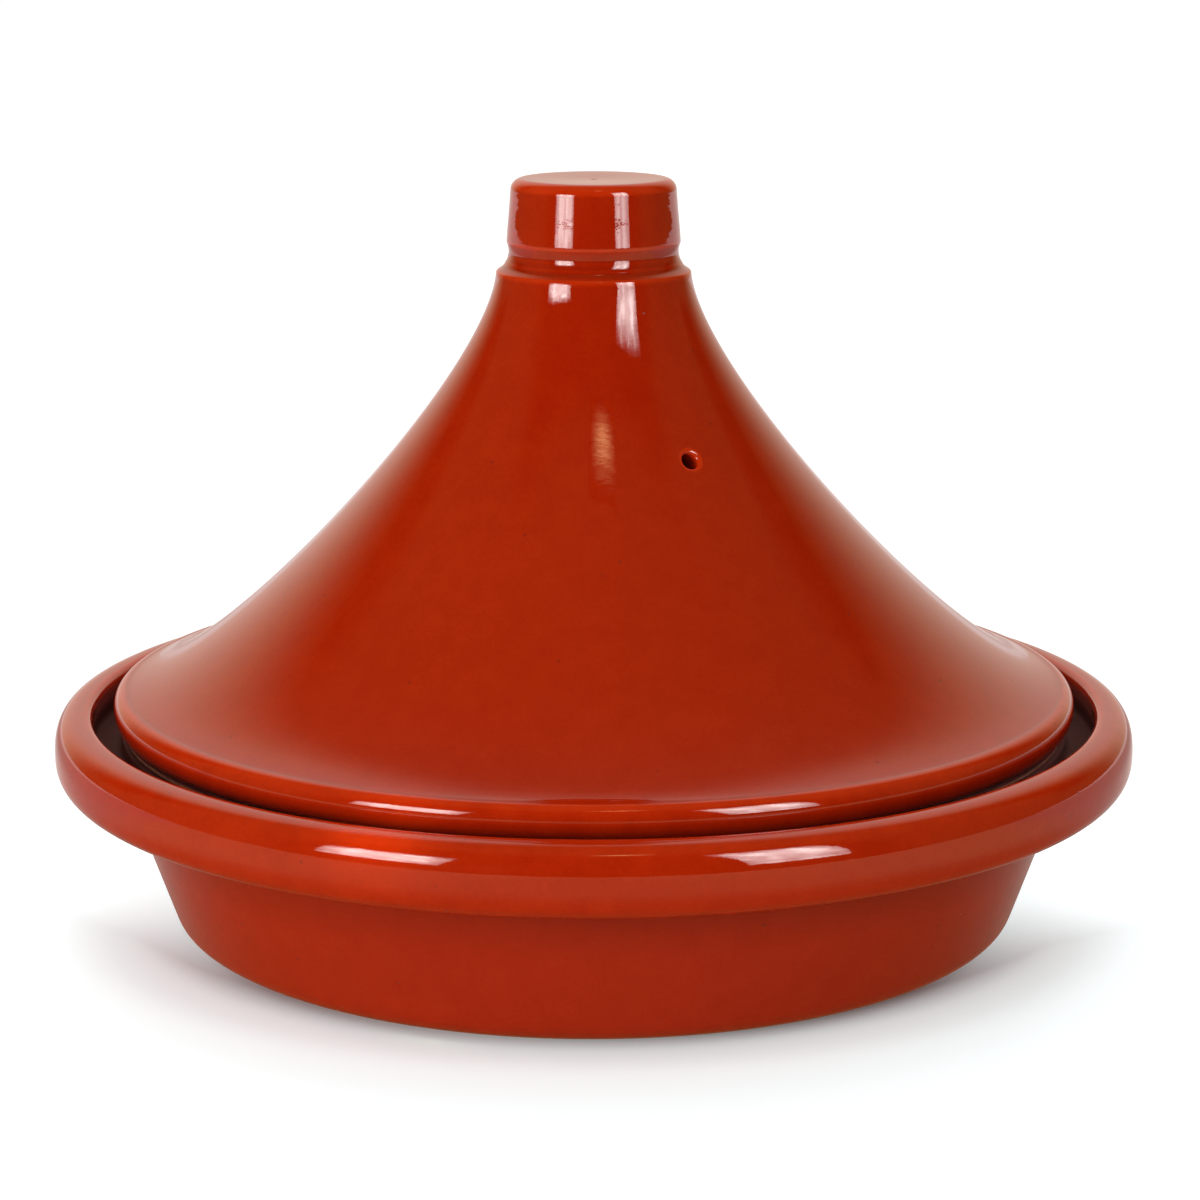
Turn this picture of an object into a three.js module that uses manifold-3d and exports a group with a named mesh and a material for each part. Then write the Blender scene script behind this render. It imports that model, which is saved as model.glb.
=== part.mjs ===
// Glazed earthenware tagine: a shallow round dish and a tall lid that flares like a bell.
// The lid stands on a ledge inside the dish's rolled rim and lifts straight off.
// Millimetres, +Z up, origin at the centre of the foot on the table.
import * as THREE from "three";
import { mergeVertices } from "three/addons/utils/BufferGeometryUtils.js";
import Module from "manifold-3d";

// Dish, outside
const RIM_DIAMETER = 320;         // across the rolled rim at its widest
const DISH_HEIGHT = 68.3;         // table to the crest of the rim
const RIM_UPPER_HEIGHT = 11.5;    // widest point of the rim up to its crest
const RIM_LOWER_HEIGHT = 9.6;     // widest point down to the rim's underside
const RIM_CREST_INSET = 8.7;      // widest point in to the crest
const RIM_ROUND_WIDTH = 13;       // widest point in to where the underside is flat
const RIM_OVERHANG = 20.1;        // widest point in to the wall below the rim
const RIM_SQUARENESS = 2.65;      // 2 is a plain ellipse, more is squarer
const FOOT_DIAMETER = 222.4;      // outer edge of the flat foot ring
const FOOT_ROUND_WIDTH = 14.9;    // foot ring out to the low end of the straight wall
const FOOT_ROUND_HEIGHT = 8.5;
const FOOT_RISE_ANGLE = 20;       // degrees, where the round leaves the table
const FOOT_RISE_PULL = 10;        // how far the round keeps to that angle
const FOOT_WALL_PULL = 5;         // how far it already keeps to the wall's lean
const FOOT_RING_WIDTH = 14;
const FOOT_RECESS = 2.5;          // hollow inside the foot ring

// Dish, inside
const DISH_WALL = 10.5;           // square to the wall
const FLOOR_THICKNESS = 7.5;      // above the recess
const FLOOR_ROUND = 26;           // along floor and wall, from the corner they would make
const LEDGE_DROP = 6.8;           // crest of the rim down to the lid's ledge
const LEDGE_ROUND = 1.8;          // inner edge of the ledge
const RIM_INNER_INSET = 11.2;     // widest point in to the top of the rim's inner face
const RIM_INNER_ROUND = 2.6;      // crest down to the top of that face
const CHANNEL_INSET = 13;         // widest point in to the corner between face and ledge
const CHANNEL_ROUND = 2.3;

// Lid, heights above its seat
const SEAT_GAP = 0.3;             // glaze to glaze, seat over ledge
const LIP_PLAY = 4.5;             // lip to the channel's corner, all round
const LID_HEIGHT = 161.3;         // seat to the top of the knob
const LID_WALL = 8;               // square to the cone
const LIP_UNDERSIDE = 4.4;
const LIP_WIDEST = 8;
const LIP_TOP = 12.6;
const LIP_ROLL_WIDTH = 3.9;       // widest point in to the top of the roll
const LIP_OVERHANG = 3;           // lip out past the seat ring
const SEAT_WIDTH = 4.7;
const SEAT_ROUND = 0.9;
const CONE_FOOT_INSET = 9.1;      // lip in to the foot of the cone
const CONE_FOOT_RISE = 1.6;       // lip's top up to the foot of the cone
const CONE_FOOT_SLOPE = 21.5;     // degrees below level
const CONE_FOOT_PULL = 31.2;      // how far the cone keeps to that slope
const CONE_TOP_SLOPE = 4.9;       // degrees off plumb, under the shoulder
const CONE_TOP_PULL = 29.5;

// Knob and collar, heights above the shoulder where the cone ends
const KNOB_HEIGHT = 27.1;
const SHOULDER_RADIUS = 28.4;
const STEP_RADIUS = 26.4;         // valley between shoulder and collar
const STEP_RISE = 1.9;
const COLLAR_RADIUS = 25.7;
const COLLAR_RISE = 3;
const NECK_RADIUS = 24.65;        // groove under the knob
const NECK_RISE = 6.7;
const KNOB_RADIUS = 25.3;         // bead at the knob's lower edge
const KNOB_BEAD_RISE = 9.2;
const KNOB_TAPER = 1.2;           // radius lost from the bead to the top
const KNOB_EDGE_ROUND = 3.4;
const KNOB_DISH = 0.4;            // shallow dip in the knob's top
const KNOB_TOP_THICKNESS = 10;    // over the hollow inside

// Steam vent, pierced through the cone
const VENT_DIAMETER = 6;
const VENT_HEIGHT = 86.5;         // above the seat, at the outer face
const VENT_BEARING = -60.3;       // degrees from +X
const VENT_RISE_ANGLE = 8;        // degrees above level, outwards
const VENT_SIDES = 24;

// Fineness of the turned surfaces
const TURN_STEPS = 60;
const SHORT_CURVE = 3;
const ROUND_CURVE = 6;
const LONG_CURVE = 11;
const WELD_DISTANCE = 1e-4;

const wasm = await Module();
wasm.setup();

const radians = THREE.MathUtils.degToRad;
const at = (radius, height) => new THREE.Vector2(radius, height);

// A bend that leaves one point and reaches another, drawn to the corner between them
function bend(start, corner, end, steps) {
  return new THREE.QuadraticBezierCurve(start, corner, end).getPoints(steps);
}

// A quarter of a squarish ellipse, from the first angle to the second in degrees
function roll(centre, width, height, squareness, first, last, steps) {
  const power = 2 / squareness;
  const points = [];
  for (let i = 0; i <= steps; i += 1) {
    const angle = radians(first + ((last - first) * i) / steps);
    const across = Math.abs(Math.cos(angle)) ** power * Math.sign(Math.cos(angle));
    const up = Math.abs(Math.sin(angle)) ** power * Math.sign(Math.sin(angle));
    points.push(at(centre.x + width * across, centre.y + height * up));
  }
  return points;
}

// Stretches of an outline put end to end, with each shared end kept once
function joined(...stretches) {
  const outline = [];
  for (const point of stretches.flat()) {
    const last = outline.at(-1);
    if (!last || last.distanceTo(point) > WELD_DISTANCE) {
      outline.push(point);
    }
  }
  return outline;
}

// One closed skin: shared corners merged, faces that shrink to nothing on the axis left out
function welded(geometry) {
  geometry.deleteAttribute("normal");
  geometry.deleteAttribute("uv");
  const merged = mergeVertices(geometry, WELD_DISTANCE);
  const corners = merged.index.array;
  const kept = [];
  for (let i = 0; i < corners.length; i += 3) {
    const [a, b, c] = corners.slice(i, i + 3);
    if (a !== b && b !== c && c !== a) {
      kept.push(a, b, c);
    }
  }
  merged.setIndex(kept);
  merged.computeVertexNormals();
  return merged;
}

// An outline of radius and height turned about the upright axis
function turned(outline) {
  const lathe = new THREE.LatheGeometry(outline, TURN_STEPS);
  lathe.rotateX(Math.PI / 2);
  return welded(lathe);
}

function solidOf(geometry) {
  const vertProperties = new Float32Array(geometry.attributes.position.array);
  const triVerts = new Uint32Array(geometry.index.array);
  return new wasm.Manifold(new wasm.Mesh({ numProp: 3, vertProperties, triVerts }));
}

function geometryOf(solid) {
  const { vertProperties, triVerts } = solid.getMesh();
  const geometry = new THREE.BufferGeometry();
  geometry.setAttribute("position", new THREE.BufferAttribute(vertProperties, 3));
  geometry.setIndex(new THREE.BufferAttribute(triVerts, 1));
  geometry.computeVertexNormals();
  return geometry;
}

// Where the dish's main lines run
const rimRadius = RIM_DIAMETER / 2;
const rimWidestHeight = DISH_HEIGHT - RIM_UPPER_HEIGHT;
const rimUnderside = rimWidestHeight - RIM_LOWER_HEIGHT;
const ledgeHeight = DISH_HEIGHT - LEDGE_DROP;
const channelRadius = rimRadius - CHANNEL_INSET;
const footRadius = FOOT_DIAMETER / 2;
const wallTop = at(rimRadius - RIM_OVERHANG, rimUnderside);
const wallFoot = at(footRadius + FOOT_ROUND_WIDTH, FOOT_ROUND_HEIGHT);
const wallRun = wallTop.clone().sub(wallFoot).normalize();

// The point of the dish's inner face at a height, parallel to the straight outer wall
function innerWall(height) {
  const thicknessAcross = DISH_WALL / wallRun.y;
  const lean = wallRun.x / wallRun.y;
  return at(wallFoot.x + (height - wallFoot.y) * lean - thicknessAcross, height);
}

function footRound() {
  const foot = at(footRadius, 0);
  const rise = at(Math.cos(radians(FOOT_RISE_ANGLE)), Math.sin(radians(FOOT_RISE_ANGLE)));
  const low = foot.clone().addScaledVector(rise, FOOT_RISE_PULL);
  const high = wallFoot.clone().addScaledVector(wallRun, -FOOT_WALL_PULL);
  return new THREE.CubicBezierCurve(foot, low, high, wallFoot).getPoints(ROUND_CURVE);
}

function dishOutline() {
  const recessRadius = footRadius - FOOT_RING_WIDTH;
  const underside = [
    at(0, FOOT_RECESS),
    at(recessRadius - FOOT_RECESS, FOOT_RECESS),
    at(recessRadius, 0),
  ];
  const lowerCentre = at(rimRadius - RIM_ROUND_WIDTH, rimWidestHeight);
  const lowerRim = roll(lowerCentre, RIM_ROUND_WIDTH, RIM_LOWER_HEIGHT, RIM_SQUARENESS, -90, 0, ROUND_CURVE);
  const crest = at(rimRadius - RIM_CREST_INSET, DISH_HEIGHT);
  const upperCentre = at(crest.x, rimWidestHeight);
  const upperRim = roll(upperCentre, RIM_CREST_INSET, RIM_UPPER_HEIGHT, RIM_SQUARENESS, 0, 90, ROUND_CURVE);

  const faceTop = at(rimRadius - RIM_INNER_INSET, DISH_HEIGHT - RIM_INNER_ROUND);
  const innerEdge = bend(crest, at(faceTop.x, DISH_HEIGHT), faceTop, SHORT_CURVE);
  const channelCorner = at(channelRadius, ledgeHeight);
  const faceRun = faceTop.clone().sub(channelCorner).normalize();
  const channel = bend(
    channelCorner.clone().addScaledVector(faceRun, CHANNEL_ROUND),
    channelCorner,
    at(channelRadius - CHANNEL_ROUND, ledgeHeight),
    SHORT_CURVE,
  );

  const ledgeEdge = innerWall(ledgeHeight);
  const ledge = bend(
    at(ledgeEdge.x + LEDGE_ROUND, ledgeHeight),
    ledgeEdge,
    ledgeEdge.clone().addScaledVector(wallRun, -LEDGE_ROUND),
    SHORT_CURVE,
  );
  const floorHeight = FOOT_RECESS + FLOOR_THICKNESS;
  const floorCorner = innerWall(floorHeight);
  const bowl = bend(
    floorCorner.clone().addScaledVector(wallRun, FLOOR_ROUND),
    floorCorner,
    at(floorCorner.x - FLOOR_ROUND, floorHeight),
    ROUND_CURVE,
  );
  const floorCentre = [at(0, floorHeight)];
  return joined(
    underside, footRound(), [wallTop], lowerRim, upperRim, innerEdge, channel, ledge, bowl, floorCentre,
  );
}

// Where the lid's main lines run, with its seat at height zero
const lipRadius = channelRadius - LIP_PLAY;
const seatRadius = lipRadius - LIP_OVERHANG;
const shoulderHeight = LID_HEIGHT - KNOB_HEIGHT;

function coneCurve() {
  const top = at(SHOULDER_RADIUS, shoulderHeight);
  const foot = at(lipRadius - CONE_FOOT_INSET, LIP_TOP + CONE_FOOT_RISE);
  const down = at(Math.sin(radians(CONE_TOP_SLOPE)), -Math.cos(radians(CONE_TOP_SLOPE)));
  const back = at(-Math.cos(radians(CONE_FOOT_SLOPE)), Math.sin(radians(CONE_FOOT_SLOPE)));
  const underTop = top.clone().addScaledVector(down, CONE_TOP_PULL);
  const aboveFoot = foot.clone().addScaledVector(back, CONE_FOOT_PULL);
  return new THREE.CubicBezierCurve(foot, aboveFoot, underTop, top);
}

const cone = coneCurve();

// The cone's inner face lies one wall thickness in from the outer one, listed from the top down
function coneInside() {
  const points = [];
  for (let i = LONG_CURVE; i >= 0; i -= 1) {
    const along = i / LONG_CURVE;
    const upward = cone.getTangent(along);
    const inward = at(-upward.y, upward.x);
    points.push(cone.getPoint(along).addScaledVector(inward, LID_WALL));
  }
  return points;
}

function knobHollow() {
  const top = LID_HEIGHT - KNOB_TOP_THICKNESS;
  const radius = NECK_RADIUS - LID_WALL;
  return bend(at(0, top), at(radius, top), at(radius, top - radius), ROUND_CURVE);
}

function seatRing() {
  const inner = seatRadius - SEAT_WIDTH;
  return joined(
    bend(at(inner, SEAT_ROUND), at(inner, 0), at(inner + SEAT_ROUND, 0), SHORT_CURVE),
    bend(at(seatRadius - SEAT_ROUND, 0), at(seatRadius, 0), at(seatRadius, SEAT_ROUND), SHORT_CURVE),
  );
}

function lip() {
  const lowerCentre = at(seatRadius, LIP_WIDEST);
  const lowerHeight = LIP_WIDEST - LIP_UNDERSIDE;
  const upperCentre = at(lipRadius - LIP_ROLL_WIDTH, LIP_WIDEST);
  const upperHeight = LIP_TOP - LIP_WIDEST;
  const lowerRoll = roll(lowerCentre, LIP_OVERHANG, lowerHeight, 2, -90, 0, SHORT_CURVE);
  const upperRoll = roll(upperCentre, LIP_ROLL_WIDTH, upperHeight, 2, 0, 90, ROUND_CURVE);
  const coneFoot = cone.getPoint(0);
  const valley = at(coneFoot.x + CONE_FOOT_RISE / Math.tan(radians(CONE_FOOT_SLOPE)), LIP_TOP);
  return joined(lowerRoll, upperRoll, bend(upperRoll.at(-1), valley, coneFoot, SHORT_CURVE));
}

// Shoulder, step, collar and neck flow into one another up to the bead under the knob
function collar() {
  const above = (radius, rise) => at(radius, shoulderHeight + rise);
  return new THREE.SplineCurve([
    above(SHOULDER_RADIUS, 0),
    above(STEP_RADIUS, STEP_RISE),
    above(COLLAR_RADIUS, COLLAR_RISE),
    above(NECK_RADIUS, NECK_RISE),
    above(KNOB_RADIUS, KNOB_BEAD_RISE),
  ]).getPoints(LONG_CURVE);
}

function knob() {
  const topRadius = KNOB_RADIUS - KNOB_TAPER;
  const edgeCentre = at(topRadius - KNOB_EDGE_ROUND, LID_HEIGHT - KNOB_EDGE_ROUND);
  const edge = roll(edgeCentre, KNOB_EDGE_ROUND, KNOB_EDGE_ROUND, 2, 0, 90, ROUND_CURVE);
  const dipCentre = at(0, LID_HEIGHT - KNOB_DISH);
  const dipBend = at(edgeCentre.x / 2, dipCentre.y);
  return joined(edge, bend(edge.at(-1), dipBend, dipCentre, SHORT_CURVE));
}

function lidOutline() {
  return joined(knobHollow(), coneInside(), seatRing(), lip(), cone.getPoints(LONG_CURVE), collar(), knob());
}

// The outer radius of the cone at a height
function coneRadius(height) {
  const points = cone.getPoints(LONG_CURVE);
  const above = points.findIndex((point) => point.y >= height);
  const low = points[above - 1];
  const high = points[above];
  return THREE.MathUtils.mapLinear(height, low.y, high.y, low.x, high.x);
}

// A straight plug through the wall on the vent's bearing
function ventPlug() {
  const radius = VENT_DIAMETER / 2;
  const reach = 2 * LID_WALL;
  const plug = welded(new THREE.CylinderGeometry(radius, radius, 2 * reach, VENT_SIDES));
  plug.rotateZ(radians(-90));
  plug.rotateY(radians(-VENT_RISE_ANGLE));
  plug.translate(coneRadius(VENT_HEIGHT), 0, VENT_HEIGHT);
  plug.rotateZ(radians(VENT_BEARING));
  return plug;
}

function glaze(colour, roughness) {
  return new THREE.MeshStandardMaterial({ color: colour, roughness, metalness: 0 });
}

const dish = new THREE.Mesh(turned(dishOutline()), glaze(0x9c2708, 0.22));
dish.name = "base_dish";

const lidSolid = solidOf(turned(lidOutline())).subtract(solidOf(ventPlug()));
const lid = new THREE.Mesh(geometryOf(lidSolid), glaze(0xa02405, 0.12));
lid.name = "lid";
lid.position.z = ledgeHeight + SEAT_GAP;

const tagine = new THREE.Group();
tagine.add(dish, lid);

export default tagine;
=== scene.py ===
"""Looks of a glazed earthenware tagine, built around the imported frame.

The dish and the lid are turned from outlines of radius and height in millimetres, then placed in metres.
The lid's vent is a slanting hole with rounded edges, knitted into the turned surface.
"""

import math

import bmesh
import bpy
import numpy as np
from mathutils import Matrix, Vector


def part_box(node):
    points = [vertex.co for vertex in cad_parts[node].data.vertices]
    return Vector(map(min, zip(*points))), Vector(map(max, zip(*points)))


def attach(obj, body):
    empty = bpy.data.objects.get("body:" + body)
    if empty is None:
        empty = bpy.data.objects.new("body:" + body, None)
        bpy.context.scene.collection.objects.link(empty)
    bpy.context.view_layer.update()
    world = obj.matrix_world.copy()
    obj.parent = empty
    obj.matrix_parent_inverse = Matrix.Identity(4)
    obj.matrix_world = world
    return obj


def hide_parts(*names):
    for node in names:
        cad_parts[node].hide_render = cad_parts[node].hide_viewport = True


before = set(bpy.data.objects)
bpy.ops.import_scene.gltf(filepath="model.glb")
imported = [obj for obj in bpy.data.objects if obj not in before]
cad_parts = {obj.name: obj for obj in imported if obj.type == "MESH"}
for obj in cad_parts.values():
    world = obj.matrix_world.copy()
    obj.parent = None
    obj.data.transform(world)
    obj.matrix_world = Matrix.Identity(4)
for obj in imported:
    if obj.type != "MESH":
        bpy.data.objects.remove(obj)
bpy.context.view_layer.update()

MM = 0.001

# Mesh steps round the axis and up the cone, and how many of the cone's lowest ones turn to satin
TURN_STEPS = 240
CONE_STEPS = 108
SATIN_STEPS = 27

# Main sizes, taken from the frame
_, dish_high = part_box("base_dish")
lid_low, lid_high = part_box("lid")
RIM_RADIUS = dish_high.x / MM
RIM_TOP = dish_high.z / MM
LIP_RADIUS = lid_high.x / MM
SEAT = lid_low.z / MM
KNOB_TOP = lid_high.z / MM

# Dish
RIM_UPPER_HEIGHT = 11.5
RIM_LOWER_HEIGHT = 9.6
RIM_CREST_INSET = 8.7
RIM_ROUND_WIDTH = 13.0
RIM_OVERHANG = 20.1
RIM_SQUARENESS = 2.65
FOOT_RADIUS = 111.2
FOOT_RING_WIDTH = 14.0
FOOT_RECESS = 2.5
FOOT_EDGE_ROUND = 0.6
RECESS_ROUND = 2.0
RECESS_SLOPE_TOP = 1.6
FOOT_RISE = math.radians(20.0)
FOOT_LOW_PULL = 10.0
FOOT_HIGH_PULL = 5.0
WALL_FOOT_OUT = 14.9
WALL_FOOT_HEIGHT = 8.5
DISH_WALL = 10.5
FLOOR_THICKNESS = 7.5
FLOOR_ROUND = 26.0
LEDGE_DROP = 6.8
LEDGE_ROUND = 1.8
RIM_INNER_INSET = 11.2
RIM_INNER_ROUND = 2.6
CHANNEL_ROUND = 2.3
GUTTER_OUTER_INSET = 10.6
GUTTER_INNER_OUT = 0.8
GUTTER_DEPTH = 4.5
GUTTER_EDGE_ROUND = 1.0
UNDER_RIM_ROUND = 4.5
# Painted shade on the wall's top under the rim: its strength, and over how many wall steps it fades in
UNDER_RIM_SHADE = 0.36
UNDER_RIM_SHADE_STEPS = 16

# Lid, heights above its seat
LID_WALL = 8.0
LIP_UNDERSIDE = 2.6
LIP_WIDEST = 8.0
LIP_TOP = 12.6
LIP_ROLL_WIDTH = 3.9
LIP_OVERHANG = 3.0
SEAT_WIDTH = 4.7
SEAT_ROUND = 0.9
CONE_FOOT_INSET = 9.1
CONE_FOOT_RISE = 1.6
CONE_FOOT_SLOPE = math.radians(21.5)
CONE_FOOT_PULL = 31.2
CONE_TOP_SLOPE = math.radians(4.9)
CONE_TOP_PULL = 29.5

# Knob and collar, heights above the shoulder
KNOB_HEIGHT = 27.1
SHOULDER_RADIUS = 28.4
KNOB_RADIUS = 25.3
NECK_RADIUS = 24.65
KNOB_TAPER = 1.2
KNOB_EDGE_ROUND = 3.4
KNOB_DISH = 0.4
KNOB_TOP_THICKNESS = 10.0
DIMPLE_RADIUS = 1.6
DIMPLE_DEPTH = 0.18

# Vent
VENT_RADIUS = 2.5
VENT_HEIGHT = 86.5
VENT_BEARING = math.radians(-60.3)
VENT_RISE = math.radians(24.0)
VENT_EDGE_SHARP = 0.5
VENT_EDGE_SOFT = 1.7
VENT_SOFT_SIDE = math.radians(55.0)
VENT_INNER_ROUND = 0.8
VENT_WINDOW = 6

# Section curvature, in 1 / mm, that counts as tight, and the radius below which a wall is less uneven
TIGHT_CURVATURE = 0.3
CALM_RADIUS = 20


def between(start, end, step=1.6):
    """Points on the straight line from start to end, both ends included."""
    start, end = np.array(start, float), np.array(end, float)
    count = max(1, math.ceil(np.linalg.norm(end - start) / step))
    return [tuple(start + (end - start) * i / count) for i in range(count + 1)]


def bezier(controls, count):
    """Points on a Bezier curve with two, three or four control points."""
    points = []
    for i in range(count + 1):
        level = [np.array(c, float) for c in controls]
        t = i / count
        while len(level) > 1:
            level = [a + (b - a) * t for a, b in zip(level, level[1:])]
        points.append(tuple(level[0]))
    return points


def roll(centre, width, height, squareness, first, last, count):
    """A quarter of a squarish ellipse, spaced evenly along its length."""
    power = 2 / squareness
    angles = np.radians(np.linspace(first, last, 400))
    across = np.sign(np.cos(angles)) * np.abs(np.cos(angles)) ** power
    up = np.sign(np.sin(angles)) * np.abs(np.sin(angles)) ** power
    curve = np.column_stack([centre[0] + width * across, centre[1] + height * up])
    return [tuple(p) for p in evenly(curve, count)]


def evenly(curve, count):
    """The same curve as count steps of equal length."""
    curve = np.array(curve, float)
    along = np.concatenate([[0], np.cumsum(np.linalg.norm(np.diff(curve, axis=0), axis=1))])
    wanted = np.linspace(0, along[-1], count + 1)
    return np.column_stack([np.interp(wanted, along, curve[:, 0]), np.interp(wanted, along, curve[:, 1])])


def flowing(knots, count):
    """A smooth curve through the knots (Catmull-Rom), as count even steps."""
    knots = [np.array(k, float) for k in knots]
    padded = [2 * knots[0] - knots[1], *knots, 2 * knots[-1] - knots[-2]]
    dense = []
    for a, b, c, d in zip(padded, padded[1:], padded[2:], padded[3:]):
        for t in np.linspace(0, 1, 40, endpoint=False):
            curve = 2 * b + (c - a) * t + (2 * a - 5 * b + 4 * c - d) * t * t
            curve = curve + (3 * b - a - 3 * c + d) * t**3
            dense.append(curve / 2)
    dense.append(knots[-1])
    return [tuple(p) for p in evenly(dense, count)]


# What the materials read at each point: how matt, bare of glaze and dark with painted shade it is, and how
# tight its round
MARKS = ("satin", "bare", "shade", "edge")


class Outline:
    """Radius and height along a turned section, with the marks for its material."""

    def __init__(self):
        self.points = []
        self.marks = []

    def add(self, points, satin=0.0, bare=0.0, shade=0.0):
        """Appends points and returns their index range. A mark is one number, or a first and a last one."""
        first = len(self.points)
        start, end = np.array([np.broadcast_to(mark, 2) for mark in (satin, bare, shade)]).T
        for i, point in enumerate(points):
            if self.points and math.dist(self.points[-1], point) < 1e-4:
                continue
            self.points.append(point)
            self.marks.append(tuple(start + (end - start) * i / max(1, len(points) - 1)))
        return first, len(self.points)

    def edges(self):
        """How the section turns at each point: 1 on tight rounds, 0 on flats, -1 in tight hollows."""
        p = np.array(self.points)
        before, after = p[1:-1] - p[:-2], p[2:] - p[1:-1]
        turn = before[:, 0] * after[:, 1] - before[:, 1] * after[:, 0]
        span = (np.linalg.norm(before, axis=1) + np.linalg.norm(after, axis=1)) / 2
        curvature = np.concatenate([[0], turn / span**3, [0]])
        for _ in range(3):
            curvature[1:-1] = (curvature[:-2] + 2 * curvature[1:-1] + curvature[2:]) / 4
        return np.clip(curvature / TIGHT_CURVATURE, -1, 1)


def wander(theta, height):
    """The small unevenness of a hand-finished wall, in millimetres of radius."""
    slow = 0.09 * np.sin(2 * theta + 0.6 + height * 0.004)
    middle = 0.05 * np.sin(3 * theta + 2.1 - height * 0.013)
    quick = 0.02 * np.sin(5 * theta + 4.0 + height * 0.021)
    return slow + middle + quick


def placed(radius, theta, height):
    """The point in metres for a radius, angle and height in millimetres, with the wall's unevenness."""
    true_radius = radius + wander(theta, height) * min(1.0, radius / CALM_RADIUS)
    return (true_radius * math.cos(theta) * MM, true_radius * math.sin(theta) * MM, height * MM)


class Turned:
    """A turned mesh in the making: vertices, faces and the marks that the materials read."""

    def __init__(self, outline):
        self.verts = []
        self.faces = []
        self.marks = []
        self.rows = []
        for (radius, height), marks, edge in zip(outline.points, outline.marks, outline.edges()):
            if radius < 1e-6:
                self.rows.append([self.vert((0.0, 0.0, height * MM), (*marks, edge))])
                continue
            row = []
            for i in range(TURN_STEPS):
                theta = 2 * math.pi * i / TURN_STEPS
                row.append(self.vert(placed(radius, theta, height), (*marks, edge)))
            self.rows.append(row)

    def vert(self, point, marks):
        self.verts.append(point)
        self.marks.append(marks)
        return len(self.verts) - 1

    def skin(self, holes=()):
        """Quads between the rows, leaving out the windows (first row, last row, first column, columns)."""
        for i, (low, high) in enumerate(zip(self.rows, self.rows[1:])):
            for j in range(TURN_STEPS):
                k = (j + 1) % TURN_STEPS
                if any(a <= i < b and (j - c) % TURN_STEPS < width for a, b, c, width in holes):
                    continue
                if len(low) == 1:
                    self.faces.append((low[0], high[k], high[j]))
                elif len(high) == 1:
                    self.faces.append((low[j], low[k], high[0]))
                else:
                    self.faces.append((low[j], low[k], high[k], high[j]))

    def ring_of(self, window):
        """Row and column of each corner on the loop round a window."""
        first, last, column, width = window
        across = [(column + i) % TURN_STEPS for i in range(width + 1)]
        loop = [(first, c) for c in across]
        loop += [(r, across[-1]) for r in range(first + 1, last + 1)]
        loop += [(last, c) for c in reversed(across[:-1])]
        loop += [(r, across[0]) for r in range(last - 1, first, -1)]
        return loop

    def knit(self, ring_a, ring_b):
        for i in range(len(ring_a)):
            k = (i + 1) % len(ring_a)
            self.faces.append((ring_a[i], ring_a[k], ring_b[k], ring_b[i]))

    def object(self, name):
        mesh = bpy.data.meshes.new(name)
        mesh.from_pydata(self.verts, [], self.faces)
        for mark, values in zip(MARKS, np.array(self.marks, np.float32).T):
            layer = mesh.attributes.new(mark, "FLOAT", "POINT")
            layer.data.foreach_set("value", values.copy())
        shell = bmesh.new()
        shell.from_mesh(mesh)
        bmesh.ops.recalc_face_normals(shell, faces=shell.faces)
        open_edges = [e for e in shell.edges if len(e.link_faces) != 2]
        if open_edges:
            raise ValueError(f"{name} isn't closed: {len(open_edges)} open edges")
        shell.to_mesh(mesh)
        shell.free()
        mesh.polygons.foreach_set("use_smooth", [True] * len(mesh.polygons))
        mesh.update()
        piece = bpy.data.objects.new(name, mesh)
        bpy.context.scene.collection.objects.link(piece)
        return piece


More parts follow.
